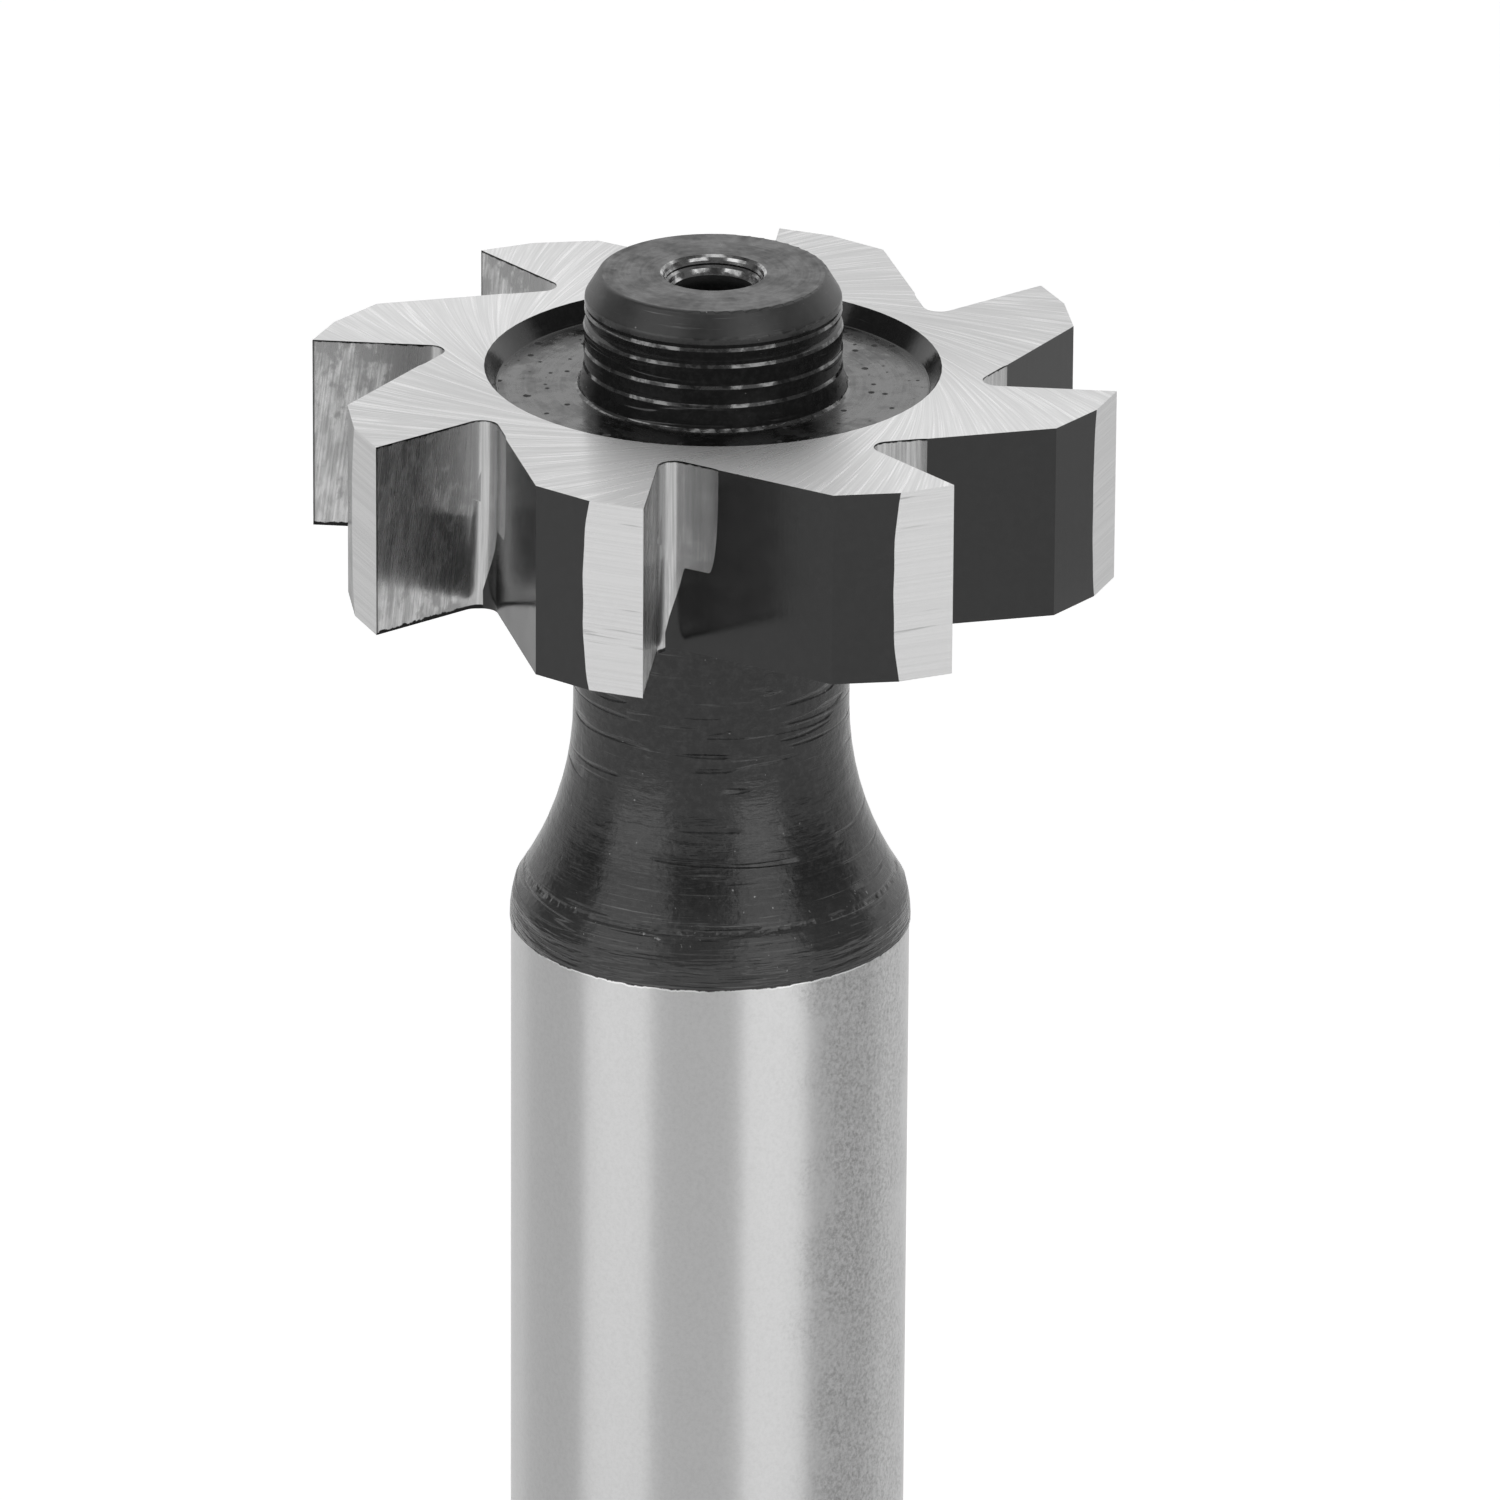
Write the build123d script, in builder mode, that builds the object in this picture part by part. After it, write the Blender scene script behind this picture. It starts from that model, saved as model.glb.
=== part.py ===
from build123d import *
import os
from math import asin, atan2, cos, degrees, radians, sin, tan

# T slot cutter, one piece of tool steel, standing on the end of its shank.
# The shank's end centre is the origin and the axis is +Z. Millimetres and degrees.

# Shank, ground to size
shank_diameter = 12.0
shank_length = 39.5
shank_chamfer = 1.0

# Turned shoulder and neck, left black
grinding_stock = 0.04
shoulder_length = 1.1
shoulder_drop = 0.15
flare_length = 5.8
neck_diameter = 8.28
neck_length = 4.8
neck_fillet = 0.5

# Head and its teeth
cutter_diameter = 24.22
head_thickness = 5.9
tooth_count = 8
tooth_depth = 4.27
rake_angle = 3.2
land_width = 1.69
land_relief = 12.2
second_width = 1.99
second_relief = 28.4
gullet_fillet = 0.5

# Grinding of the tooth fronts by the rounded edge of a wheel
land_stock = 0.2
rake_stock = 0.08
gullet_grinding_depth = 0.045
wheel_radius = 70.0
wheel_width = 2.26
wheel_edge_fillet = 0.5
wheel_back_fillet = 1.3
wheel_stop_depth = 0.67

# Turned recess in the head's face, and the boss that stands in it
face_ring_width = 1.04
recess_depth = 0.6
recess_wall_slope = 31.0
recess_fillet = 0.08
boss_diameter = 7.64
boss_height = 2.94
boss_chamfer_width = 0.42
boss_chamfer_height = 0.7
boss_chamfer_fillet = 0.25
boss_rim_fillet = 0.15
boss_root_spread = 0.18
boss_root_height = 0.48
boss_root_fillet = 0.12

# Rings that the turning tool left round the boss: how far up its side, as a share of the side's
# height, and how far out the metal stands there
boss_rings = (
    (0.0, 0.06),
    (0.085, 0.045),
    (0.127, 0.005),
    (0.33, 0.04),
    (0.372, 0.0),
    (0.613, 0.045),
    (0.655, 0.005),
    (0.682, -0.095),
    (0.826, 0.015),
    (0.868, -0.025),
    (0.92, 0.01),
    (1.0, 0.0),
)

# Centre holes in both ends
centre_mouth_diameter = 3.16
centre_angle = 75.0
centre_ring_width = 0.17
centre_ring_height = 0.06
centre_pilot_diameter = 2.44
centre_pilot_length = 2.6
drill_point_angle = 118.0

# How far a cutting tool reaches past the metal
overrun = 1.0

# Heights above the shank's end
shoulder_bottom = shank_length
ridge_height = shoulder_bottom + shoulder_length
neck_bottom = ridge_height + flare_length
head_bottom = neck_bottom + neck_length
head_top = head_bottom + head_thickness
recess_floor = head_top - recess_depth
boss_top = head_top + boss_height

# Radii
shank_radius = shank_diameter / 2
shoulder_radius = shank_radius + grinding_stock
ridge_radius = shoulder_radius - shoulder_drop
neck_radius = neck_diameter / 2
cutter_radius = cutter_diameter / 2
blank_radius = cutter_radius + land_stock
recess_radius = cutter_radius - tooth_depth - face_ring_width
recess_foot_radius = recess_radius - recess_depth * tan(radians(recess_wall_slope))
boss_radius = boss_diameter / 2
boss_root_radius = boss_radius + boss_root_spread
boss_side_bottom = recess_floor + boss_root_height
boss_side_height = boss_top - boss_chamfer_height - boss_side_bottom
boss_side = [(boss_radius + out, boss_side_bottom + up * boss_side_height) for up, out in boss_rings]

# Corners of one tooth space, seen from the head's end, with the cutting edge of the tooth behind it
# on the X axis. The tooth ahead of it is one pitch further round.
pitch_angle = 360 / tooth_count


def along(start, angle, distance):
    """The point at a distance from start, in the direction of angle."""
    return start + Vector(cos(radians(angle)), sin(radians(angle))) * distance


cutting_corner = Vector(cutter_radius, 0)
land_corner = along(cutting_corner, -90 - land_relief, land_width)
bend_corner = along(land_corner, -90 - second_relief, second_width)
land_front = along(cutting_corner, 90 - land_relief, land_stock / sin(radians(land_relief)))

inward_angle = 180 + rake_angle
gullet_corner = along(cutting_corner, inward_angle, tooth_depth)
next_bend = bend_corner.rotate(Axis.Z, pitch_angle)
next_land = land_corner.rotate(Axis.Z, pitch_angle)
next_front = land_front.rotate(Axis.Z, pitch_angle)
heel = next_bend - gullet_corner
heel_angle = degrees(atan2(heel.Y, heel.X))
gullet_angle = heel_angle - rake_angle

# The mill leaves some metal on the tooth's front, so its own corner lies that far up the heel
mill_corner = along(gullet_corner, heel_angle, rake_stock / sin(radians(gullet_angle)))
mill_outer = along(mill_corner, rake_angle, tooth_depth + land_stock + overrun)
mill_middle = along(Vector(0, 0), pitch_angle / 2, mill_outer.length)
next_outer = next_front.normalized() * mill_outer.length

with BuildPart() as gullet_mill:
    with BuildSketch(Plane.XY.offset(head_bottom - overrun)) as mill_outline:
        with BuildLine():
            Polyline(next_outer, next_front, next_land, next_bend, mill_corner, mill_outer)
            ThreePointArc(mill_outer, mill_middle, next_outer)
        make_face()
        mill_tip = mill_outline.vertices().sort_by_distance(mill_corner)[0]
        fillet(mill_tip, gullet_fillet)
    extrude(amount=head_thickness + 2 * overrun)

# The wheel's section lies across the tooth space: flat side on the tooth's front, rounded edge in
# the gullet, slanted rim a little deeper than the heel. It sweeps down the head in a straight line,
# and below the height where it stops only its round rim is left in the metal.
wheel_height = head_top - wheel_stop_depth
wheel_corner = along(gullet_corner, inward_angle, gullet_grinding_depth / sin(radians(gullet_angle)))
wheel_side = wheel_width / sin(radians(gullet_angle))
wheel_back = along(wheel_corner, heel_angle, wheel_side)
wheel_reach = tooth_depth + land_stock + overrun
wheel_centre = along(wheel_corner, rake_angle, wheel_radius) + Vector(0, 0, wheel_height)
wheel_axis = Axis(wheel_centre, Vector(sin(radians(rake_angle)), -cos(radians(rake_angle))))
wheel_drop = head_thickness - wheel_stop_depth + overrun
wheel_sweep_angle = degrees(asin(wheel_drop / (wheel_radius - wheel_reach)))

with BuildPart() as grinding_wheel:
    with BuildSketch(Plane.XY.offset(wheel_height)) as wheel_section:
        with BuildLine():
            Polyline(
                wheel_corner,
                along(wheel_corner, rake_angle, wheel_reach),
                along(wheel_back, rake_angle, wheel_reach),
                wheel_back,
                close=True,
            )
        make_face()
        wheel_edge = wheel_section.vertices().sort_by_distance(wheel_corner)[0]
        fillet(wheel_edge, wheel_edge_fillet)
        wheel_back_edge = wheel_section.vertices().sort_by_distance(wheel_back)[0]
        fillet(wheel_back_edge, wheel_back_fillet)
    extrude(wheel_section.sketch, amount=wheel_stop_depth + overrun)
    revolve(wheel_section.sketch, axis=wheel_axis, revolution_arc=wheel_sweep_angle)

# A centre drill, its mouth at the origin and its point downwards
mouth_radius = centre_mouth_diameter / 2
pilot_radius = centre_pilot_diameter / 2
ring_radius = mouth_radius - centre_ring_width
ring_top = -centre_ring_width / tan(radians(centre_angle / 2))
ring_bottom = ring_top - centre_ring_height
cone_depth = (ring_radius - pilot_radius) / tan(radians(centre_angle / 2)) - ring_bottom
point_depth = pilot_radius / tan(radians(drill_point_angle / 2))
pilot_bottom = -cone_depth - centre_pilot_length

with BuildPart() as centre_drill:
    with BuildSketch(Plane.XZ):
        with BuildLine():
            Polyline(
                (0, 0),
                (mouth_radius, 0),
                (ring_radius, ring_top),
                (ring_radius, ring_bottom),
                (pilot_radius, -cone_depth),
                (pilot_radius, pilot_bottom),
                (0, pilot_bottom - point_depth),
                close=True,
            )
        make_face()
    revolve(axis=Axis.Z)

# The turned blank: shank, shoulder, neck, head disc and boss in one outline
with BuildPart() as cutter:
    with BuildSketch(Plane.XZ) as blank_outline:
        with BuildLine():
            Polyline(
                (0, 0),
                (shank_radius - shank_chamfer, 0),
                (shank_radius, shank_chamfer),
                (shank_radius, shoulder_bottom),
                (shoulder_radius, shoulder_bottom),
            )
            TangentArc(
                (shoulder_radius, shoulder_bottom),
                (ridge_radius, ridge_height),
                tangent=(0, 1),
            )
            TangentArc(
                (neck_radius, neck_bottom),
                (ridge_radius, ridge_height),
                tangent=(0, -1),
            )
            Polyline(
                (neck_radius, neck_bottom),
                (neck_radius, head_bottom),
                (blank_radius, head_bottom),
                (blank_radius, head_top),
                (recess_radius, head_top),
                (recess_foot_radius, recess_floor),
                (boss_root_radius, recess_floor),
                *boss_side,
                (boss_radius - boss_chamfer_width, boss_top),
                (0, boss_top),
                (0, 0),
            )
        make_face()
        neck_corner = blank_outline.vertices().sort_by_distance((neck_radius, head_bottom))[0]
        fillet(neck_corner, neck_fillet)
        recess_corner = blank_outline.vertices().sort_by_distance((recess_foot_radius, recess_floor))[0]
        fillet(recess_corner, recess_fillet)
        boss_root = blank_outline.vertices().sort_by_distance((boss_root_radius, recess_floor))[0]
        fillet(boss_root, boss_root_fillet)
        chamfer_foot_point = (boss_radius, boss_top - boss_chamfer_height)
        chamfer_foot = blank_outline.vertices().sort_by_distance(chamfer_foot_point)[0]
        fillet(chamfer_foot, boss_chamfer_fillet)
        boss_rim = blank_outline.vertices().sort_by_distance((boss_radius - boss_chamfer_width, boss_top))[0]
        fillet(boss_rim, boss_rim_fillet)
    revolve(axis=Axis.Z)

    # Eight milled gullets leave the teeth, each with its land, its second slope and its heel
    with PolarLocations(0, tooth_count):
        add(gullet_mill.part, mode=Mode.SUBTRACT)

    # The wheel then sharpens each tooth's front and stops short of the head's underside
    with PolarLocations(0, tooth_count):
        add(grinding_wheel.part, mode=Mode.SUBTRACT)

    # A centre hole in the boss, and one in the shank's end
    with Locations(Location((0, 0, boss_top)), Location((0, 0, 0), (180, 0, 0))):
        add(centre_drill.part, mode=Mode.SUBTRACT)
cutter.part.label = "cutter"
os.makedirs("parts", exist_ok=True)
export_step(cutter.part, "parts/cutter.step")
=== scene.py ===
import math

import bmesh
import bpy
from mathutils import Matrix, Vector


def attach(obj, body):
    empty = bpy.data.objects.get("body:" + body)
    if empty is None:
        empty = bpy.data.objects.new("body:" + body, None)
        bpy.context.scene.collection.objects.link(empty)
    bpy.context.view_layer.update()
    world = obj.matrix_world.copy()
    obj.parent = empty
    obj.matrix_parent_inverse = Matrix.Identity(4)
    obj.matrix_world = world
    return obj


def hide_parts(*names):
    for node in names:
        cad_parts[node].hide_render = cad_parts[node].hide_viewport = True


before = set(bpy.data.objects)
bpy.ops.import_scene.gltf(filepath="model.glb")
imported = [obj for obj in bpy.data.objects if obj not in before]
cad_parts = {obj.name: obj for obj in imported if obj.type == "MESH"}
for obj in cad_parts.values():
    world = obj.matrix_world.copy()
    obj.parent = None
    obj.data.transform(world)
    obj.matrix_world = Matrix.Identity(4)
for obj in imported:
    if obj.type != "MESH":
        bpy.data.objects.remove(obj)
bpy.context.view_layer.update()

# The cutter is one bar of high speed steel: turned all over, milled to leave eight teeth,
# hardened and blackened, and last of all ground bright on the shank, the head's faces, the lands
# and the tooth fronts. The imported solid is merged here, so each surface can carry its own finish.
steel = bmesh.new()
steel.from_mesh(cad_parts["cutter"].data)
bmesh.ops.remove_doubles(steel, verts=steel.verts, dist=1e-8)

# Heights above the shank's end, and radii, in metres
SHANK_CHAMFER_TOP = 0.0010
SHANK_TOP = 0.0395
HEAD_BOTTOM = 0.0512
HEAD_TOP = 0.0571
BOSS_TOP = 0.06004
CENTRE_CONE_DEPTH = 0.00056
SHANK_RADIUS = 0.0060
RECESS_RADIUS = 0.0068
CUTTER_RADIUS = 0.01211
HOLE_RADIUS = 0.00158

# How far off a surface a corner may be and still count as on it
HAIR = 1e-7
NEAR = 2e-6
NEAR_SHANK = 1e-5

# One tooth space seen from above, with the cutting edge of the tooth behind it on +X
TOOTH_PITCH = math.radians(45)
LAND_WIDTH = 0.00169
LAND_ANGLE = math.radians(-102.2)
SECOND_WIDTH = 0.00199
SECOND_ANGLE = math.radians(-118.4)
TOOTH_DEPTH = 0.00427
INWARD_ANGLE = math.radians(183.2)
FRONT_ANGLE = INWARD_ANGLE - math.pi
MILL_STOCK = 0.00008
MILL_ROUND_RADIUS = 0.0005


def along(start, angle, distance):
    """The point at a distance from start, seen from above."""
    return start + distance * Vector((math.cos(angle), math.sin(angle)))


def turned(point, angle):
    """A point turned about the cutter's axis."""
    return Matrix.Rotation(angle, 2) @ point


cutting_corner = Vector((CUTTER_RADIUS, 0.0))
land_corner = along(cutting_corner, LAND_ANGLE, LAND_WIDTH)
bend_corner = along(land_corner, SECOND_ANGLE, SECOND_WIDTH)
gullet_corner = along(cutting_corner, INWARD_ANGLE, TOOTH_DEPTH)
next_bend = turned(bend_corner, TOOTH_PITCH)
heel_angle = math.atan2(next_bend.y - gullet_corner.y, next_bend.x - gullet_corner.x)
gullet_angle = heel_angle - FRONT_ANGLE
mill_corner = along(gullet_corner, heel_angle, MILL_STOCK / math.sin(gullet_angle))
mill_round_reach = MILL_ROUND_RADIUS / math.sin(gullet_angle / 2)
mill_round = along(mill_corner, FRONT_ANGLE + gullet_angle / 2, mill_round_reach)
land_line = (turned(cutting_corner, TOOTH_PITCH), LAND_ANGLE + TOOTH_PITCH)
milled_lines = (
    (turned(land_corner, TOOTH_PITCH), SECOND_ANGLE + TOOTH_PITCH),
    (gullet_corner, heel_angle),
    (mill_corner, FRONT_ANGLE),
)


def on_line(points, line):
    """Whether all the points are on a line, given as a start and an angle."""
    start, angle = line
    steps = [point - start for point in points]
    return all(abs(step.x * math.sin(angle) - step.y * math.cos(angle)) < NEAR for step in steps)


def in_tooth_space(point, middle):
    """A vertex as seen from above in its tooth space, with the cutting edge behind it on +X."""
    space = math.floor(math.atan2(middle.y, middle.x) / TOOTH_PITCH + 1e-6)
    return turned(point.xy, -space * TOOTH_PITCH)


def finish_of(face):
    """The finish of a face, from the machined surface that all its corners lie on."""
    middle = face.calc_center_median()
    low, high = min(v.co.z for v in face.verts), max(v.co.z for v in face.verts)
    inner = min(v.co.xy.length for v in face.verts)
    outer = max(v.co.xy.length for v in face.verts)
    level = high - low < HAIR
    if outer < HOLE_RADIUS + HAIR and not level:
        in_cone = low > BOSS_TOP - CENTRE_CONE_DEPTH or high < CENTRE_CONE_DEPTH
        return "lapped_centre" if in_cone else "turned_black"
    if high < SHANK_TOP + HAIR:
        on_side = low > SHANK_CHAMFER_TOP - HAIR and inner > SHANK_RADIUS - NEAR_SHANK
        return "ground_shank" if on_side else "faced_black"
    if abs(middle.z - HEAD_TOP) < HAIR or abs(middle.z - HEAD_BOTTOM) < HAIR:
        return "ground_face"
    if middle.z < HEAD_BOTTOM or inner < RECESS_RADIUS + NEAR:
        return "faced_black" if level else "turned_black"
    corners = [in_tooth_space(v.co, middle) for v in face.verts]
    if on_line(corners, land_line):
        return "ground_land"
    if any(on_line(corners, line) for line in milled_lines):
        return "milled_black"
    if all(abs((corner - mill_round).length - MILL_ROUND_RADIUS) < NEAR for corner in corners):
        return "milled_black"
    return "ground_front"


# The finishes, in the order in which their materials are made below
FINISHES = (
    "ground_shank",
    "ground_face",
    "ground_land",
    "ground_front",
    "turned_black",
    "faced_black",
    "milled_black",
    "lapped_centre",
)
GROUND_LAND = FINISHES.index("ground_land")
MILLED_BLACK = FINISHES.index("milled_black")
LAPPED_CENTRE = FINISHES.index("lapped_centre")
for face in steel.faces:
    face.material_index = FINISHES.index(finish_of(face))
    face.smooth = True


def cut_level(faces, height):
    """Cuts faces at a height, and returns the corners that the cut made."""
    edges = dict.fromkeys(e for f in faces for e in f.edges)
    corners = dict.fromkeys(v for f in faces for v in f.verts)
    cut = bmesh.ops.bisect_plane(
        steel,
        geom=[*faces, *edges, *corners],
        dist=1e-9,
        plane_co=(0, 0, height),
        plane_no=(0, 0, 1),
    )
    return [v for v in cut["geom_cut"] if isinstance(v, bmesh.types.BMVert)]


# The grinder's centre has burnished the upper centre hole in shallow rings. Each pair is a depth
# below the boss's top and the radius that the cone now has there.
WORN_CONE = ((0.00007, 0.00150), (0.000155, 0.00146), (0.00035, 0.001345), (0.00045, 0.00130))
for depth, worn_radius in WORN_CONE:
    lapped = [f for f in steel.faces if f.material_index == LAPPED_CENTRE]
    upper_cone = [f for f in lapped if f.calc_center_median().z > HEAD_TOP]
    for vert in cut_level(upper_cone, BOSS_TOP - depth):
        vert.co.xy = vert.co.xy.normalized() * worn_radius

# Flat faces become whole again, each within its own finish
bmesh.ops.dissolve_limit(
    steel, angle_limit=0.0005, verts=steel.verts, edges=steel.edges, delimit={"MATERIAL"}
)

# Each land was ground by hand feed, so it is widest at mid height and its back edge wanders. The
# land and the slope behind it are cut in level strips, and the edge between them is moved there.
LAND_STRIPS = 20
LAND_SWELL = 0.00020
LAND_WANDER = 0.00001
WANDER_WAVES = 23
WANDER_SHIFT = 3
SLOPE_FOOT_RADIUS = 0.0108
strip_height = (HEAD_TOP - HEAD_BOTTOM) / LAND_STRIPS
for i in range(1, LAND_STRIPS):
    slopes = [f for f in steel.faces if f.material_index in (GROUND_LAND, MILLED_BLACK)]
    near_land = [f for f in slopes if f.calc_center_median().xy.length > SLOPE_FOOT_RADIUS]
    cut_level(near_land, HEAD_BOTTOM + i * strip_height)
for vert in steel.verts:
    tooth = round(math.atan2(vert.co.y, vert.co.x) / TOOTH_PITCH)
    own = turned(vert.co.xy, -tooth * TOOTH_PITCH)
    if (own - land_corner).length < NEAR and HEAD_BOTTOM + HAIR < vert.co.z < HEAD_TOP - HAIR:
        up = (vert.co.z - HEAD_BOTTOM) / (HEAD_TOP - HEAD_BOTTOM)
        swell = LAND_SWELL * (1 - abs(2 * up - 1) ** 3)
        wander = LAND_WANDER * math.sin(WANDER_WAVES * up + WANDER_SHIFT * tooth)
        moved = turned(along(land_corner, LAND_ANGLE, swell + wander), tooth * TOOTH_PITCH)
        vert.co.x, vert.co.y = moved.x, moved.y

# The facets of the turned and ground rounds are shaded smooth, and every edge that a tool left
# stays crisp. In the lapped centre only the rising lines are smooth, so its worn rings still show.
SMOOTH_BEND = math.radians(12)
for edge in steel.edges:
    rising = abs(edge.verts[0].co.z - edge.verts[1].co.z) > HAIR
    in_worn_ring = rising and all(f.material_index == LAPPED_CENTRE for f in edge.link_faces)
    gentle = in_worn_ring or edge.calc_face_angle() < SMOOTH_BEND
    edge.smooth = len(edge.link_faces) == 2 and gentle
cutter_mesh = bpy.data.meshes.new("tool_steel_cutter")
steel.to_mesh(cutter_mesh)
steel.free()
cutter = bpy.data.objects.new("tool_steel_cutter", cutter_mesh)
bpy.context.scene.collection.objects.link(cutter)
shading = cutter.modifiers.new("flat_faces_stay_flat", "WEIGHTED_NORMAL")
shading.keep_sharp = True
shaded_cutter = cutter.evaluated_get(bpy.context.evaluated_depsgraph_get())
cutter.data = bpy.data.meshes.new_from_object(shaded_cutter)
cutter.modifiers.clear()
cutter.data.name = "tool_steel_cutter_shaded"

# The shank is cylindrically ground high speed steel, the surface that a collet grips. The wheel
# leaves hair lines round it, which smear the lights up and down only, and a grey grain that is
# heavier on one side. The grinding stops at the black shoulder in a ragged line with a thin burr.
BURR_BOTTOM = SHANK_TOP + 0.00001
BURR_TOP = SHANK_TOP + 0.00005
BLACK_START = SHANK_TOP + 0.00006
BLACK_FULL = SHANK_TOP + 0.00010
ROUGH_SIDE = (0.90, -0.43, 0.0)

# Noise cells in a metre, for one in each millimetre
PER_MM = 1000.0

# Settings that many nodes share
SMOOTH = {"interpolation_type": "SMOOTHSTEP"}
COLOURS = {"data_type": "RGBA"}
PLUS = {"operation": "ADD"}
TIMES = {"operation": "MULTIPLY"}
TIMES_PLUS = {"operation": "MULTIPLY_ADD"}
LARGER = {"operation": "MAXIMUM"}
SCALED = {"operation": "SCALE"}
ALONG = {"operation": "DOT_PRODUCT"}


def linear(colour):
    """An sRGB hex colour as Blender's linear colour."""
    parts = [int(colour[i : i + 2], 16) / 255 for i in (1, 3, 5)]
    return [p / 12.92 if p <= 0.04045 else ((p + 0.055) / 1.055) ** 2.4 for p in parts] + [1.0]


def node(tree, kind, settings=None, **inputs):
    """Adds a node with its settings, values and links, and returns its result. Input i0 is the first."""
    made = tree.nodes.new("ShaderNode" + kind)
    for name, value in (settings or {}).items():
        setattr(made, name, value)
    for name, value in inputs.items():
        socket = made.inputs[int(name[1:]) if name[1:].isdigit() else name.replace("_", " ")]
        if isinstance(value, bpy.types.NodeSocket):
            tree.links.new(value, socket)
        else:
            socket.default_value = value
    return next(socket for socket in made.outputs if socket.enabled)


def new_finish(name, **settings):
    """A finish with its own shader, whose uniform values stand on the shader's sockets."""
    material = bpy.data.materials.new(name)
    material.use_nodes = True
    shader = material.node_tree.nodes["Principled BSDF"]
    for key, value in settings.items():
        shader.inputs[key.replace("_", " ")].default_value = value
    cutter.data.materials.append(material)
    return material.node_tree, shader


def wear(tree, shader, colour, roughness, height, depth):
    """Links a finish's patterns: its colour, its roughness, and its marks with their depth in metres."""
    tree.links.new(colour, shader.inputs["Base Color"])
    tree.links.new(roughness, shader.inputs["Roughness"])
    bumps = node(tree, "Bump", None, Strength=1.0, Distance=depth, Height=height)
    tree.links.new(bumps, shader.inputs["Normal"])


def round_the_axis(tree):
    """A point's place, its distance and direction from the cutter's axis, and its height."""
    place = node(tree, "TexCoord").node.outputs["Object"]
    flat = node(tree, "VectorMath", TIMES, i0=place, i1=(1, 1, 0))
    radius = node(tree, "VectorMath", {"operation": "LENGTH"}, i0=flat)
    direction = node(tree, "VectorMath", {"operation": "NORMALIZE"}, i0=flat)
    height = node(tree, "SeparateXYZ", None, Vector=place).node.outputs["Z"]
    return place, radius, direction, height


def tool_rings(tree, across, direction, spacing, length, detail=4.0):
    """The marks that a tool leaves round the axis, with their spacing and their length in metres."""
    level = node(tree, "Math", TIMES, i0=across, i1=1 / spacing)
    level = node(tree, "CombineXYZ", None, Z=level)
    about = node(tree, "VectorMath", SCALED, i0=direction, Scale=SHANK_RADIUS / length)
    place = node(tree, "VectorMath", PLUS, i0=about, i1=level)
    return node(tree, "TexNoise", None, Vector=place, Scale=1.0, Detail=detail, Roughness=0.6)


tree, shader = new_finish("ground_shank", Metallic=1.0, Anisotropic=1.0, Anisotropic_Rotation=0.25)
place, radius, direction, height = round_the_axis(tree)
# Real grinding lines lie about 0.01 mm apart. They are drawn at 0.06 mm, so that they show.
hair_lines = tool_rings(tree, height, direction, 0.00006, 0.006)
grain = node(tree, "TexNoise", None, Vector=place, Scale=8 * PER_MM, Detail=5.0, Roughness=0.8)
grain = node(tree, "MapRange", SMOOTH, Value=grain, From_Min=0.36, From_Max=0.74)
rough_side = node(tree, "VectorMath", ALONG, i0=direction, i1=ROUGH_SIDE)
cloud = node(tree, "TexNoise", None, Vector=place, Scale=0.4 * PER_MM, Detail=3.0, Roughness=0.6)
rough_side = node(tree, "Math", TIMES_PLUS, i0=cloud, i1=0.35, i2=rough_side)
rough_side = node(tree, "MapRange", SMOOTH, Value=rough_side, From_Min=1.02, From_Max=1.16, To_Min=0.22)
grain = node(tree, "Math", TIMES, i0=grain, i1=rough_side)
bright_steel = node(tree, "Mix", COLOURS, i0=grain, i6=linear("#D3D3D3"), i7=linear("#A4A4A4"))
ragged = tool_rings(tree, height, direction, 0.0010, 0.00040, 6.0)
edge_height = node(tree, "Math", TIMES_PLUS, i0=ragged, i1=0.00022, i2=height)
burr = node(tree, "MapRange", SMOOTH, Value=edge_height, From_Min=BURR_BOTTOM, From_Max=BURR_TOP)
in_places = node(tree, "MapRange", SMOOTH, Value=cloud, From_Min=0.42, From_Max=0.58)
burr = node(tree, "Math", TIMES, i0=burr, i1=in_places)
with_burr = node(tree, "Mix", COLOURS, i0=burr, i6=bright_steel, i7=linear("#F4F4F4"))
still_black = node(tree, "MapRange", SMOOTH, Value=edge_height, From_Min=BLACK_START, From_Max=BLACK_FULL)
colour = node(tree, "Mix", COLOURS, i0=still_black, i6=with_burr, i7=linear("#262626"))
roughness = node(tree, "MapRange", None, Value=grain, To_Min=0.33, To_Max=0.42)
wear(tree, shader, colour, roughness, hair_lines, 2.0e-7)

# The head's two faces were ground on a turning table under a cup wheel, which swept arcs across
# them from the recess to the rim. The arcs show as fine bright and dull streaks.
ARC_RADIUS = 0.0388
ARC_CENTRE = 0.0326
FACE_MIDDLE_RADIUS = 0.0095
tree, shader = new_finish("ground_face", Metallic=1.0, Anisotropic=0.9, Anisotropic_Rotation=0.36)
place, radius, direction, height = round_the_axis(tree)
square = node(tree, "Math", TIMES_PLUS, i0=radius, i1=radius, i2=ARC_CENTRE**2 - ARC_RADIUS**2)
double = node(tree, "Math", TIMES, i0=radius, i1=2 * ARC_CENTRE)
swing = node(tree, "Math", {"operation": "DIVIDE"}, i0=square, i1=double)
swing = node(tree, "Math", {"operation": "ARCCOSINE"}, i0=swing)
swing = node(tree, "Math", TIMES, i0=swing, i1=-1.0)
swept = node(tree, "VectorRotate", {"rotation_type": "Z_AXIS"}, Vector=direction, Angle=swing)
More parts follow.
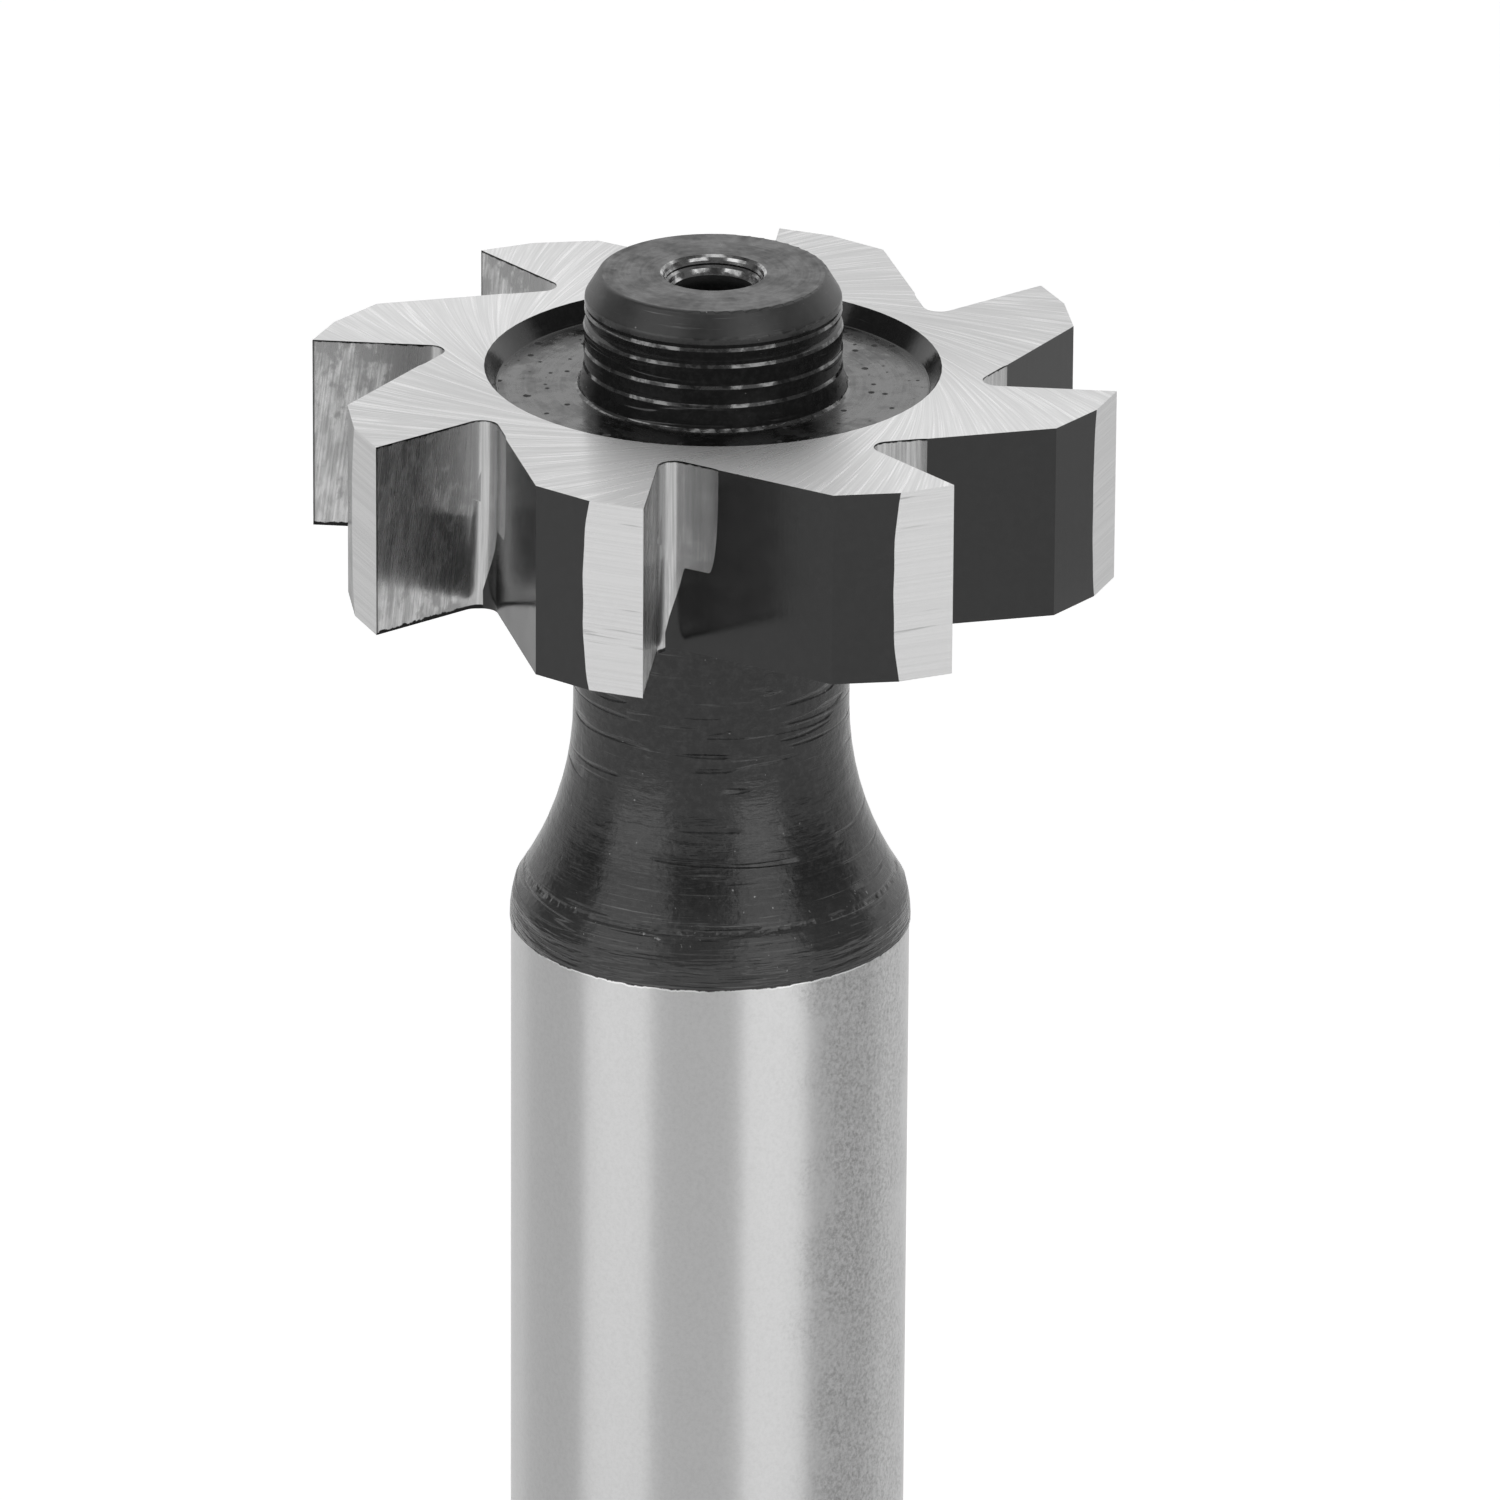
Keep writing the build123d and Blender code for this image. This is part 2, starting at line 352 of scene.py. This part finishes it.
# Real arcs lie about 0.02 mm apart. They are drawn at 0.08 and 0.24 mm, so that they show.
arcs = []
for spacing, length, start in ((0.00008, 0.0050, 0.0), (0.00024, 0.0022, 7.0)):
    fan = node(tree, "VectorMath", SCALED, i0=swept, Scale=FACE_MIDDLE_RADIUS / spacing)
    outward = node(tree, "Math", TIMES_PLUS, i0=radius, i1=1 / length, i2=start)
    outward = node(tree, "CombineXYZ", None, Z=outward)
    fan = node(tree, "VectorMath", PLUS, i0=fan, i1=outward)
    arcs.append(node(tree, "TexNoise", None, Vector=fan, Scale=1.0, Detail=2.5, Roughness=0.6))
fine_arcs, broad_arcs = arcs
fine = node(tree, "MapRange", SMOOTH, Value=fine_arcs, From_Min=0.30, From_Max=0.70)
broad = node(tree, "MapRange", SMOOTH, Value=broad_arcs, From_Min=0.38, From_Max=0.72)
streak = node(tree, "Math", TIMES, i0=fine, i1=broad)
streak = node(tree, "Math", TIMES_PLUS, i0=fine, i1=0.35, i2=streak)
colour = node(tree, "Mix", COLOURS, i0=streak, i6=linear("#CECECE"), i7=linear("#E8E8E8"))
roughness = node(tree, "MapRange", None, Value=streak, To_Min=0.31, To_Max=0.25)
wear(tree, shader, colour, roughness, fine_arcs, 7.0e-7)

# The lands are the ground strips behind the cutting edges. The wheel ran round the cutter, so its
# marks lie level across them, and a few deeper lines show dark.
tree, shader = new_finish("ground_land", Metallic=1.0, Anisotropic=0.95, Anisotropic_Rotation=0.25)
place, radius, direction, height = round_the_axis(tree)
# The marks are really about 0.01 mm apart. They are drawn at 0.07 mm, so that they show.
marks = tool_rings(tree, height, direction, 0.00007, 0.009)
deep = tool_rings(tree, height, direction, 0.00019, 0.0022)
deep = node(tree, "MapRange", SMOOTH, Value=deep, From_Min=0.36, From_Max=0.28)
shallow = node(tree, "MapRange", SMOOTH, Value=marks, From_Min=0.35, From_Max=0.65)
plain = node(tree, "Mix", COLOURS, i0=shallow, i6=linear("#CBCBCB"), i7=linear("#D5D5D5"))
colour = node(tree, "Mix", COLOURS, i0=deep, i6=plain, i7=linear("#AEAEAE"))
roughness = node(tree, "MapRange", None, Value=shallow, To_Min=0.24, To_Max=0.20)
wear(tree, shader, colour, roughness, marks, 1.5e-7)

# The tooth fronts and the bright part of the gullets were sharpened by the rounded edge of a wheel
# that ran down the tooth. The gullets came out smooth, and the fronts are smudged and scratched
# nearly upright. A dark line is painted along the cutting edge and the upper and lower edges. It is
# a fine burr together with painted shade beside it.
FRONT_START = 0.0082
FRONT_FULL = 0.0092
SCRATCH_LEAN = 0.13
TOP_STAINS_START = HEAD_TOP - 0.0022
ROOT_STAINS_START = 0.0110
ROOT_STAINS_FULL = 0.0090
BURR_SHADE_WIDTH = 0.00003
LOW_BURR_SHADE_END = HEAD_BOTTOM - BURR_SHADE_WIDTH
HIGH_BURR_SHADE_END = HEAD_TOP + BURR_SHADE_WIDTH
CUTTING_BURR_SHADE_START = CUTTER_RADIUS - 0.00008
CUTTING_BURR_SHADE_FULL = CUTTER_RADIUS - BURR_SHADE_WIDTH
tree, shader = new_finish("ground_front", Metallic=1.0, Anisotropic=0.9)
place, radius, direction, height = round_the_axis(tree)
on_front = node(tree, "MapRange", SMOOTH, Value=radius, From_Min=FRONT_START, From_Max=FRONT_FULL)
lean = node(tree, "Math", TIMES_PLUS, i0=height, i1=SCRATCH_LEAN, i2=-SCRATCH_LEAN * HEAD_TOP)
lean = node(tree, "Math", TIMES, i0=lean, i1=on_front)
lean = node(tree, "VectorMath", SCALED, i0=direction, Scale=lean)
leaning = node(tree, "VectorMath", PLUS, i0=place, i1=lean)
# The wheel's own lines are about 0.01 mm apart. The finest are drawn at 0.06 mm, so that they show.
patterns = []
for spacing, length in (
    (0.00006, 0.0050),
    (0.00030, 0.0010),
    (0.00045, 0.0007),
    (0.00026, 0.00026),
    (0.00010, 0.0012),
):
    stretched = node(tree, "VectorMath", TIMES, i0=leaning, i1=(1 / spacing, 1 / spacing, 1 / length))
    patterns.append(node(tree, "TexNoise", None, Vector=stretched, Scale=1.0, Detail=3.0, Roughness=0.65))
wheel_lines, smudges, stains, ragged, nicks = patterns
fine = node(tree, "MapRange", SMOOTH, Value=wheel_lines, From_Min=0.30, From_Max=0.70, To_Max=0.40)
smudge = node(tree, "MapRange", SMOOTH, Value=smudges, From_Min=0.36, From_Max=0.66, To_Max=0.45)
near_top = node(
    tree, "MapRange", None, Value=height, From_Min=TOP_STAINS_START, From_Max=HEAD_TOP, To_Max=0.15
)
near_root = node(
    tree,
    "MapRange",
    SMOOTH,
    Value=radius,
    From_Min=ROOT_STAINS_START,
    From_Max=ROOT_STAINS_FULL,
    To_Max=0.17,
)
stains = node(tree, "Math", PLUS, i0=stains, i1=near_top)
stains = node(tree, "Math", PLUS, i0=stains, i1=near_root)
unstained = node(tree, "MapRange", SMOOTH, Value=stains, From_Min=0.70, From_Max=0.55)
nicks = node(tree, "MapRange", SMOOTH, Value=nicks, From_Min=0.64, From_Max=0.72, To_Max=0.35)
bare = node(tree, "Math", PLUS, i0=fine, i1=smudge)
bare = node(tree, "Math", TIMES, i0=bare, i1=unstained)
bare = node(tree, "Math", PLUS, i0=bare, i1=nicks)
in_gullet = node(tree, "Math", PLUS, i0=fine, i1=0.28)
bare = node(tree, "Mix", None, i0=on_front, i2=in_gullet, i3=bare)
bare = node(tree, "Mix", COLOURS, i0=bare, i6=linear("#A0A0A0"), i7=linear("#E2E2E2"))
# The lines along the lower, upper and cutting edges are painted dark: the burr and its painted shade
low_edge = node(tree, "Math", TIMES_PLUS, i0=ragged, i1=-0.00024, i2=height)
low_burr_shade = node(tree, "MapRange", SMOOTH, Value=low_edge, From_Min=HEAD_BOTTOM, From_Max=LOW_BURR_SHADE_END)
high_edge = node(tree, "Math", TIMES_PLUS, i0=ragged, i1=0.00014, i2=height)
high_burr_shade = node(tree, "MapRange", SMOOTH, Value=high_edge, From_Min=HEAD_TOP, From_Max=HIGH_BURR_SHADE_END)
cutting_burr_shade = node(
    tree,
    "MapRange",
    SMOOTH,
    Value=radius,
    From_Min=CUTTING_BURR_SHADE_START,
    From_Max=CUTTING_BURR_SHADE_FULL,
    To_Max=0.8,
)
# The burr and its painted shade, made into one dark line along the edges
burr = node(tree, "Math", LARGER, i0=low_burr_shade, i1=high_burr_shade)
burr = node(tree, "Math", LARGER, i0=burr, i1=cutting_burr_shade)
colour = node(tree, "Mix", COLOURS, i0=burr, i6=bare, i7=linear("#262626"))
roughness = node(tree, "MapRange", None, Value=on_front, To_Min=0.24, To_Max=0.30)
roughness = node(tree, "Math", TIMES_PLUS, i0=fine, i1=-0.20, i2=roughness)
marks = node(tree, "MapRange", None, Value=on_front, To_Min=0.25, To_Max=2.5)
marks = node(tree, "Math", TIMES, i0=marks, i1=fine)
wear(tree, shader, colour, roughness, marks, 2.5e-7)

# The neck, the shoulder, the boss and the recess wall keep their turned surface under black oxide,
# a thin dark crust with a little oil in it, so it gleams softly over the tool's rings. It is rubbed
# through on the boss's steps and by the ridge over the shank. The boss's chamfer is painted paler in
# patches, partly as wear from handling and partly as a painted highlight.
RIDGE_HEIGHT = 0.0406
RIDGE_GROOVE = 0.04112
BOSS_STEPS = (0.05653, 0.05723, 0.05781, 0.05848, 0.05898)
BOSS_REACH = 0.0042
STEP_HALF_HEIGHT = 0.00005
tree, shader = new_finish("turned_black", IOR=1.44)
place, radius, direction, height = round_the_axis(tree)

# The tool's feed was about 0.1 mm. Its rings follow the outline, so they lie by height and radius.
profile = node(tree, "Math", TIMES_PLUS, i0=radius, i1=-0.5, i2=height)
fine_rings = tool_rings(tree, profile, direction, 0.00010, 0.004)
broad_rings = tool_rings(tree, profile, direction, 0.00050, 0.0028)
ripples = tool_rings(tree, profile, direction, 0.00022, 0.0018, 2.0)
grooves = tool_rings(tree, profile, direction, 0.00040, 0.0070, 1.0)
grooves = node(tree, "MapRange", SMOOTH, Value=grooves, From_Min=0.58, From_Max=0.66)
crust = node(tree, "TexNoise", None, Vector=place, Scale=4.5 * PER_MM, Detail=5.0, Roughness=0.7)
mottle = node(tree, "TexNoise", None, Vector=place, Scale=5 * PER_MM, Detail=1.0)
patches = node(tree, "TexNoise", None, Vector=place, Scale=0.9 * PER_MM, Detail=3.0, Roughness=0.6)
chattered = node(tree, "TexNoise", None, Vector=place, Scale=0.33 * PER_MM, Detail=1.0)
chattered = node(tree, "MapRange", SMOOTH, Value=chattered, From_Min=0.43, From_Max=0.53)
grooves = node(tree, "Math", TIMES, i0=grooves, i1=chattered)
off_ridge = node(tree, "Math", {"operation": "SUBTRACT"}, i0=height, i1=RIDGE_GROOVE)
off_ridge = node(tree, "Math", {"operation": "ABSOLUTE"}, i0=off_ridge)
ridge_groove = node(tree, "MapRange", SMOOTH, Value=off_ridge, From_Min=0.00013, From_Max=0.00002)
uneven = node(tree, "MapRange", SMOOTH, Value=patches, From_Min=0.38, From_Max=0.58, To_Min=0.15)
ridge_groove = node(tree, "Math", TIMES, i0=ridge_groove, i1=uneven)
grooves = node(tree, "Math", LARGER, i0=grooves, i1=ridge_groove)

# Where the oxide is rubbed through: by the ridge, in specks, and in dashes along the boss's steps
by_ridge = node(tree, "MapRange", None, Value=off_ridge, From_Min=0.0015, From_Max=0.0, To_Max=0.05)
specks = node(tree, "TexNoise", None, Vector=place, Scale=7 * PER_MM, Detail=1.0)
specks = node(tree, "Math", PLUS, i0=specks, i1=by_ridge)
specks = node(tree, "MapRange", SMOOTH, Value=specks, From_Min=0.78, From_Max=0.82, To_Max=0.5)
on_steps = 0.0
for step in BOSS_STEPS:
    on_step = node(tree, "Math", {"operation": "COMPARE"}, i0=height, i1=step, i2=STEP_HALF_HEIGHT)
    on_steps = node(tree, "Math", PLUS, i0=on_steps, i1=on_step)
on_boss = node(tree, "Math", {"operation": "LESS_THAN"}, i0=radius, i1=BOSS_REACH)
on_steps = node(tree, "Math", TIMES, i0=on_steps, i1=on_boss)
in_places = tool_rings(tree, height, direction, 0.00030, 0.0007, 3.0)
in_places = node(tree, "MapRange", SMOOTH, Value=in_places, From_Min=0.36, From_Max=0.60)
on_steps = node(tree, "Math", TIMES, i0=on_steps, i1=in_places)
rubbed = node(tree, "Math", PLUS, i0=fine_rings, i1=by_ridge)
rubbed = node(tree, "MapRange", SMOOTH, Value=rubbed, From_Min=0.62, From_Max=0.78, To_Max=0.25)
rubbed = node(tree, "Math", LARGER, i0=rubbed, i1=specks)
bare = node(tree, "Math", LARGER, i0=rubbed, i1=on_steps)
tree.links.new(bare, shader.inputs["Metallic"])

# The oxide is darkest on the head, and paler where the ridge is knocked. The boss's chamfer is
# painted paler in patches, as handling wear and a painted highlight.
CHAMFER_START = BOSS_TOP - 0.00085
CHAMFER_FULL = BOSS_TOP - 0.0006
HEAD_START = HEAD_BOTTOM + 0.001
HEAD_FULL = HEAD_BOTTOM + 0.002
KNOCKED_TOP = RIDGE_HEIGHT + 0.0020
handled = node(tree, "MapRange", SMOOTH, Value=height, From_Min=CHAMFER_START, From_Max=CHAMFER_FULL)
on_head = node(tree, "MapRange", SMOOTH, Value=height, From_Min=HEAD_START, From_Max=HEAD_FULL)
knocked = node(
    tree, "MapRange", SMOOTH, Value=height, From_Min=KNOCKED_TOP, From_Max=RIDGE_HEIGHT, To_Max=0.5
)
dull = node(tree, "MapRange", SMOOTH, Value=crust, From_Min=0.40, From_Max=0.75)
darkest = node(tree, "Mix", COLOURS, i0=on_head, i6=linear("#252525"), i7=linear("#202020"))
palest = node(tree, "Mix", COLOURS, i0=on_head, i6=linear("#373737"), i7=linear("#2E2E2E"))
oxide = node(tree, "Mix", COLOURS, i0=dull, i6=darkest, i7=palest)
oxide = node(tree, "Mix", COLOURS, i0=knocked, i6=oxide, i7=linear("#484848"))
# The chamfer's pale patches: handling wear together with a painted highlight
chamfer_wear_and_highlight = node(tree, "Mix", COLOURS, i0=patches, i6=linear("#242424"), i7=linear("#4C4C4C"))
oxide = node(tree, "Mix", COLOURS, i0=handled, i6=oxide, i7=chamfer_wear_and_highlight)
colour = node(tree, "Mix", COLOURS, i0=rubbed, i6=oxide, i7=linear("#B0B0B0"))
colour = node(tree, "Mix", COLOURS, i0=on_steps, i6=colour, i7=linear("#767676"))

# The rings and the crust in relief: strong on the neck, stronger below the ridge, fine on the head
RIPPLES_FULL = RIDGE_HEIGHT - 0.0003
below_ridge = node(
    tree, "MapRange", SMOOTH, Value=height, From_Min=RIDGE_HEIGHT, From_Max=RIPPLES_FULL, To_Max=15.0
)
ripples = node(tree, "Math", TIMES, i0=ripples, i1=below_ridge)
rings = node(tree, "Math", TIMES, i0=fine_rings, i1=0.6)
rings = node(tree, "Math", TIMES_PLUS, i0=broad_rings, i1=4.0, i2=rings)
rings = node(tree, "Math", TIMES_PLUS, i0=grooves, i1=-5.0, i2=rings)
rings = node(tree, "Math", TIMES_PLUS, i0=crust, i1=1.1, i2=rings)
rings = node(tree, "Math", TIMES_PLUS, i0=mottle, i1=0.8, i2=rings)
rings = node(tree, "Math", PLUS, i0=rings, i1=ripples)
finer_feed = node(tree, "MapRange", None, Value=on_head, To_Min=1.0, To_Max=0.15)
rings = node(tree, "Math", TIMES, i0=rings, i1=finer_feed)
oily = node(tree, "MapRange", None, Value=patches, From_Min=0.3, From_Max=0.7, To_Min=0.10, To_Max=0.17)
roughness = node(tree, "Math", TIMES_PLUS, i0=handled, i1=0.24, i2=oily)
roughness = node(tree, "Mix", None, i0=on_steps, i2=roughness, i3=0.09)
wear(tree, shader, colour, roughness, rings, 1.0e-5)

# The boss's top, the recess floor and the shank's end were faced by a tool that moved in towards
# the axis. Their black is smooth and oily, with small pits where the crust has come away. The
# boss's top is duller, because it is handled.
WALL_START = 0.0057
WALL_FULL = 0.0063
tree, shader = new_finish("faced_black", Metallic=0.0, IOR=2.0)
place, radius, direction, height = round_the_axis(tree)
face_rings = tool_rings(tree, radius, direction, 0.00009, 0.004)
by_wall = node(
    tree,
    "MapRange",
    SMOOTH,
    Value=radius,
    From_Min=WALL_START,
    From_Max=WALL_FULL,
    To_Min=1.0,
    To_Max=6.0,
)
crust = node(tree, "TexNoise", None, Vector=place, Scale=3 * PER_MM, Detail=5.0, Roughness=0.7)
pit_cells = node(tree, "TexVoronoi", None, Vector=place, Scale=2.1 * PER_MM, Randomness=1.0)
pit_choice = node(tree, "SeparateColor", None, Color=pit_cells.node.outputs["Color"])
pit_size = node(tree, "MapRange", None, Value=pit_choice, From_Min=0.10, From_Max=1.0, To_Max=0.26)
pit_shape = node(tree, "Math", {"operation": "SUBTRACT"}, i0=pit_cells, i1=pit_size)
pits = node(
    tree, "MapRange", None, Value=pit_shape, From_Min=-0.02, From_Max=0.04, To_Min=1.0, To_Max=0.0
)
up_the_boss = {"From_Min": HEAD_TOP, "From_Max": BOSS_TOP}
oxide_kept = node(tree, "MapRange", None, Value=height, To_Min=1.0, To_Max=0.15, **up_the_boss)
pits = node(tree, "Math", TIMES, i0=pits, i1=oxide_kept)
dull = node(tree, "MapRange", SMOOTH, Value=crust, From_Min=0.35, From_Max=0.70)
oxide = node(tree, "Mix", COLOURS, i0=dull, i6=linear("#0C0C0C"), i7=linear("#202020"))
colour = node(tree, "Mix", COLOURS, i0=pits, i6=oxide, i7=linear("#040404"))
handled = node(tree, "MapRange", None, Value=height, To_Min=0.03, To_Max=0.22, **up_the_boss)
patchy = node(tree, "MapRange", SMOOTH, Value=crust, From_Min=0.3, From_Max=0.7, To_Max=0.20)
smears = node(tree, "TexNoise", None, Vector=place, Scale=0.9 * PER_MM, Detail=2.0)
smears = node(tree, "MapRange", SMOOTH, Value=smears, From_Min=0.40, From_Max=0.65, To_Max=0.16)
patchy = node(tree, "Math", PLUS, i0=patchy, i1=smears)
turned_lines = node(tree, "MapRange", SMOOTH, Value=face_rings, From_Min=0.3, From_Max=0.7, To_Max=0.12)
roughness = node(tree, "Math", PLUS, i0=handled, i1=patchy)
roughness = node(tree, "Math", PLUS, i0=roughness, i1=turned_lines)
roughness = node(tree, "Math", TIMES_PLUS, i0=pits, i1=0.6, i2=roughness)
marks = node(tree, "Math", TIMES, i0=face_rings, i1=by_wall)
marks = node(tree, "Math", TIMES_PLUS, i0=pits, i1=-5.0, i2=marks)
marks = node(tree, "Math", TIMES_PLUS, i0=crust, i1=0.6, i2=marks)
wear(tree, shader, colour, roughness, marks, 1.0e-6)

# The slopes and heels of the teeth are milled under black oxide, flat and even, with the faint
# upright feed marks of the cutter that made the gullets.
FEED_MARKS = (6 * PER_MM, 6 * PER_MM, 0.35 * PER_MM)
tree, shader = new_finish("milled_black", Metallic=0.0, IOR=1.55, Anisotropic=0.7)
place = node(tree, "TexCoord").node.outputs["Object"]
stretched = node(tree, "VectorMath", TIMES, i0=place, i1=FEED_MARKS)
feed_marks = node(tree, "TexNoise", None, Vector=stretched, Scale=1.0, Detail=3.0, Roughness=0.6)
crust = node(tree, "TexNoise", None, Vector=place, Scale=4.5 * PER_MM, Detail=5.0, Roughness=0.7)
patches = node(tree, "TexNoise", None, Vector=place, Scale=0.7 * PER_MM, Detail=3.0, Roughness=0.6)
dull = node(tree, "MapRange", SMOOTH, Value=crust, From_Min=0.35, From_Max=0.75)
colour = node(tree, "Mix", COLOURS, i0=dull, i6=linear("#0C0C0C"), i7=linear("#1A1A1A"))
roughness = node(
    tree, "MapRange", None, Value=patches, From_Min=0.3, From_Max=0.7, To_Min=0.14, To_Max=0.22
)
marks = node(tree, "Math", TIMES_PLUS, i0=crust, i1=0.8, i2=feed_marks)
wear(tree, shader, colour, roughness, marks, 2.0e-6)

# The cones of the centre holes are bare and burnished, because the cutter turned on them between
# the grinder's centres, which left rings in them and some dark stain.
tree, shader = new_finish("lapped_centre", Metallic=1.0)
place, radius, direction, height = round_the_axis(tree)
# Real lapping rings lie about 0.01 mm apart. They are drawn at 0.09 mm, so that they show.
lap_rings = tool_rings(tree, height, direction, 0.00009, 0.004)
stain = node(tree, "TexNoise", None, Vector=place, Scale=2.5 * PER_MM, Detail=3.0, Roughness=0.6)
stain = node(tree, "MapRange", SMOOTH, Value=stain, From_Min=0.35, From_Max=0.65)
colour = node(tree, "Mix", COLOURS, i0=stain, i6=linear("#7A7A7A"), i7=linear("#C8C8C8"))
roughness = node(tree, "MapRange", None, Value=stain, To_Min=0.22, To_Max=0.15)
wear(tree, shader, colour, roughness, lap_rings, 1.0e-6)

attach(cutter, "root")
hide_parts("cutter")

# The floor is a wide sheet of matt white paper, a hair below the shank's end. The camera and gloss
# see it white, and it keeps the cutter's soft shadow.
FLOOR_HALF_WIDTH = 3.0
FLOOR_HEIGHT = -0.00001
GLOW_TO_CAMERA = 0.58
GLOW_IN_GLOSS = 0.28
floor_shape = bmesh.new()
floor_place = Matrix.Translation((0, 0, FLOOR_HEIGHT))
bmesh.ops.create_grid(floor_shape, x_segments=1, y_segments=1, size=FLOOR_HALF_WIDTH, matrix=floor_place)
floor_mesh = bpy.data.meshes.new("paper_floor")
floor_shape.to_mesh(floor_mesh)
floor_shape.free()
floor = bpy.data.objects.new("paper_floor", floor_mesh)
bpy.context.scene.collection.objects.link(floor)
paper = bpy.data.materials.new("matt_white_paper")
paper.use_nodes = True
tree = paper.node_tree
shader = tree.nodes["Principled BSDF"]
shader.inputs["Base Color"].default_value = linear("#E8E8E8")
shader.inputs["Roughness"].default_value = 0.9
shader.inputs["Emission Color"].default_value = linear("#FFFFFF")
rays = node(tree, "LightPath").node.outputs
in_gloss = node(tree, "Math", LARGER, i0=rays["Is Glossy Ray"], i1=rays["Is Transmission Ray"])
in_gloss = node(tree, "Math", TIMES, i0=in_gloss, i1=GLOW_IN_GLOSS)
glow = node(tree, "Math", TIMES_PLUS, i0=rays["Is Camera Ray"], i1=GLOW_TO_CAMERA, i2=in_gloss)
tree.links.new(glow, shader.inputs["Emission Strength"])
floor_mesh.materials.append(paper)

# The studio round it is white low down, overhead and behind the cutter, a little to one side. In
# front and at the sides, where the room is open, it is dim from knee height up, and at the very
# sides from the floor up.
CAMERA_SIDE = math.radians(-80.52)
OPEN_SIDE = CAMERA_SIDE - math.radians(8)
world = bpy.data.worlds.new("studio_room")
bpy.context.scene.world = world
world.use_nodes = True
tree = world.node_tree
background = tree.nodes["Background"]
sky = node(tree, "TexCoord").node.outputs["Generated"]
rise = node(tree, "SeparateXYZ", None, Vector=sky).node.outputs["Z"]
towards_room = (math.cos(OPEN_SIDE), math.sin(OPEN_SIDE), 0.0)
frontness = node(tree, "VectorMath", ALONG, i0=sky, i1=towards_room)
in_front = node(tree, "MapRange", SMOOTH, Value=frontness, From_Min=-0.52, From_Max=-0.36)
low_wall = node(
    tree, "MapRange", SMOOTH, Value=frontness, From_Min=0.10, From_Max=0.70, To_Min=0.10, To_Max=-0.06
)
above_wall = node(tree, "Math", PLUS, i0=rise, i1=low_wall)
above_floor = node(tree, "MapRange", SMOOTH, Value=above_wall, From_Min=0.06, From_Max=0.20)
below_ceiling = node(tree, "MapRange", SMOOTH, Value=rise, From_Min=0.98, From_Max=0.91)
dim = node(tree, "Math", TIMES, i0=in_front, i1=above_floor)
dim = node(tree, "Math", TIMES, i0=dim, i1=below_ceiling)
strength = node(tree, "MapRange", None, Value=dim, To_Min=1.0, To_Max=0.13)
tree.links.new(strength, background.inputs["Strength"])
background.inputs["Color"].default_value = linear("#FFFFFF")

# Two soft boxes stand before the cutter, to its left and right. They give the two bright bands on
# the shank and the pairs of lights on the boss and the shoulder.
AIM = Vector((0.0, 0.0, 0.05))
SOFT_BOX_DISTANCE = 0.5
SOFT_BOX_RISE = math.radians(18)
SOFT_BOX_HEIGHT = 0.50
SOFT_BOXES = (("soft_box_left", -54.5, 0.40, 0.78), ("soft_box_right", 36.8, 0.34, 0.76))
for name, turn, width, power in SOFT_BOXES:
    way = CAMERA_SIDE + math.radians(turn)
    level = math.cos(SOFT_BOX_RISE)
    way_up = Vector((math.cos(way) * level, math.sin(way) * level, math.sin(SOFT_BOX_RISE)))
    place = AIM + SOFT_BOX_DISTANCE * way_up
    lamp = bpy.data.lights.new(name, "AREA")
    lamp.shape = "RECTANGLE"
    lamp.size = width
    lamp.size_y = SOFT_BOX_HEIGHT
    lamp.energy = power
    soft_box = bpy.data.objects.new(name, lamp)
    soft_box.location = place
    soft_box.rotation_euler = (AIM - place).to_track_quat("-Z", "Y").to_euler()
    bpy.context.scene.collection.objects.link(soft_box)

# The camera is a long lens nearly half a metre away, looking down at about 20 degrees, so that
# the teeth, the recess and the boss all show.
FOCAL_LENGTH_MM = 378.3
SENSOR_WIDTH_MM = 36.0
CAMERA_PLACE = (0.072251, -0.432533, 0.220718)
CAMERA_TURN_DEGREES = (68.14144, -0.33578, 9.46527)
lens = bpy.data.cameras.new("camera")
lens.lens = FOCAL_LENGTH_MM
lens.sensor_width = SENSOR_WIDTH_MM
lens.clip_start = 0.01
lens.clip_end = 20.0
camera = bpy.data.objects.new("camera", lens)
camera.location = CAMERA_PLACE
camera.rotation_euler = [math.radians(angle) for angle in CAMERA_TURN_DEGREES]
bpy.context.scene.collection.objects.link(camera)
bpy.context.scene.camera = camera
bpy.context.scene.view_settings.view_transform = "Standard"
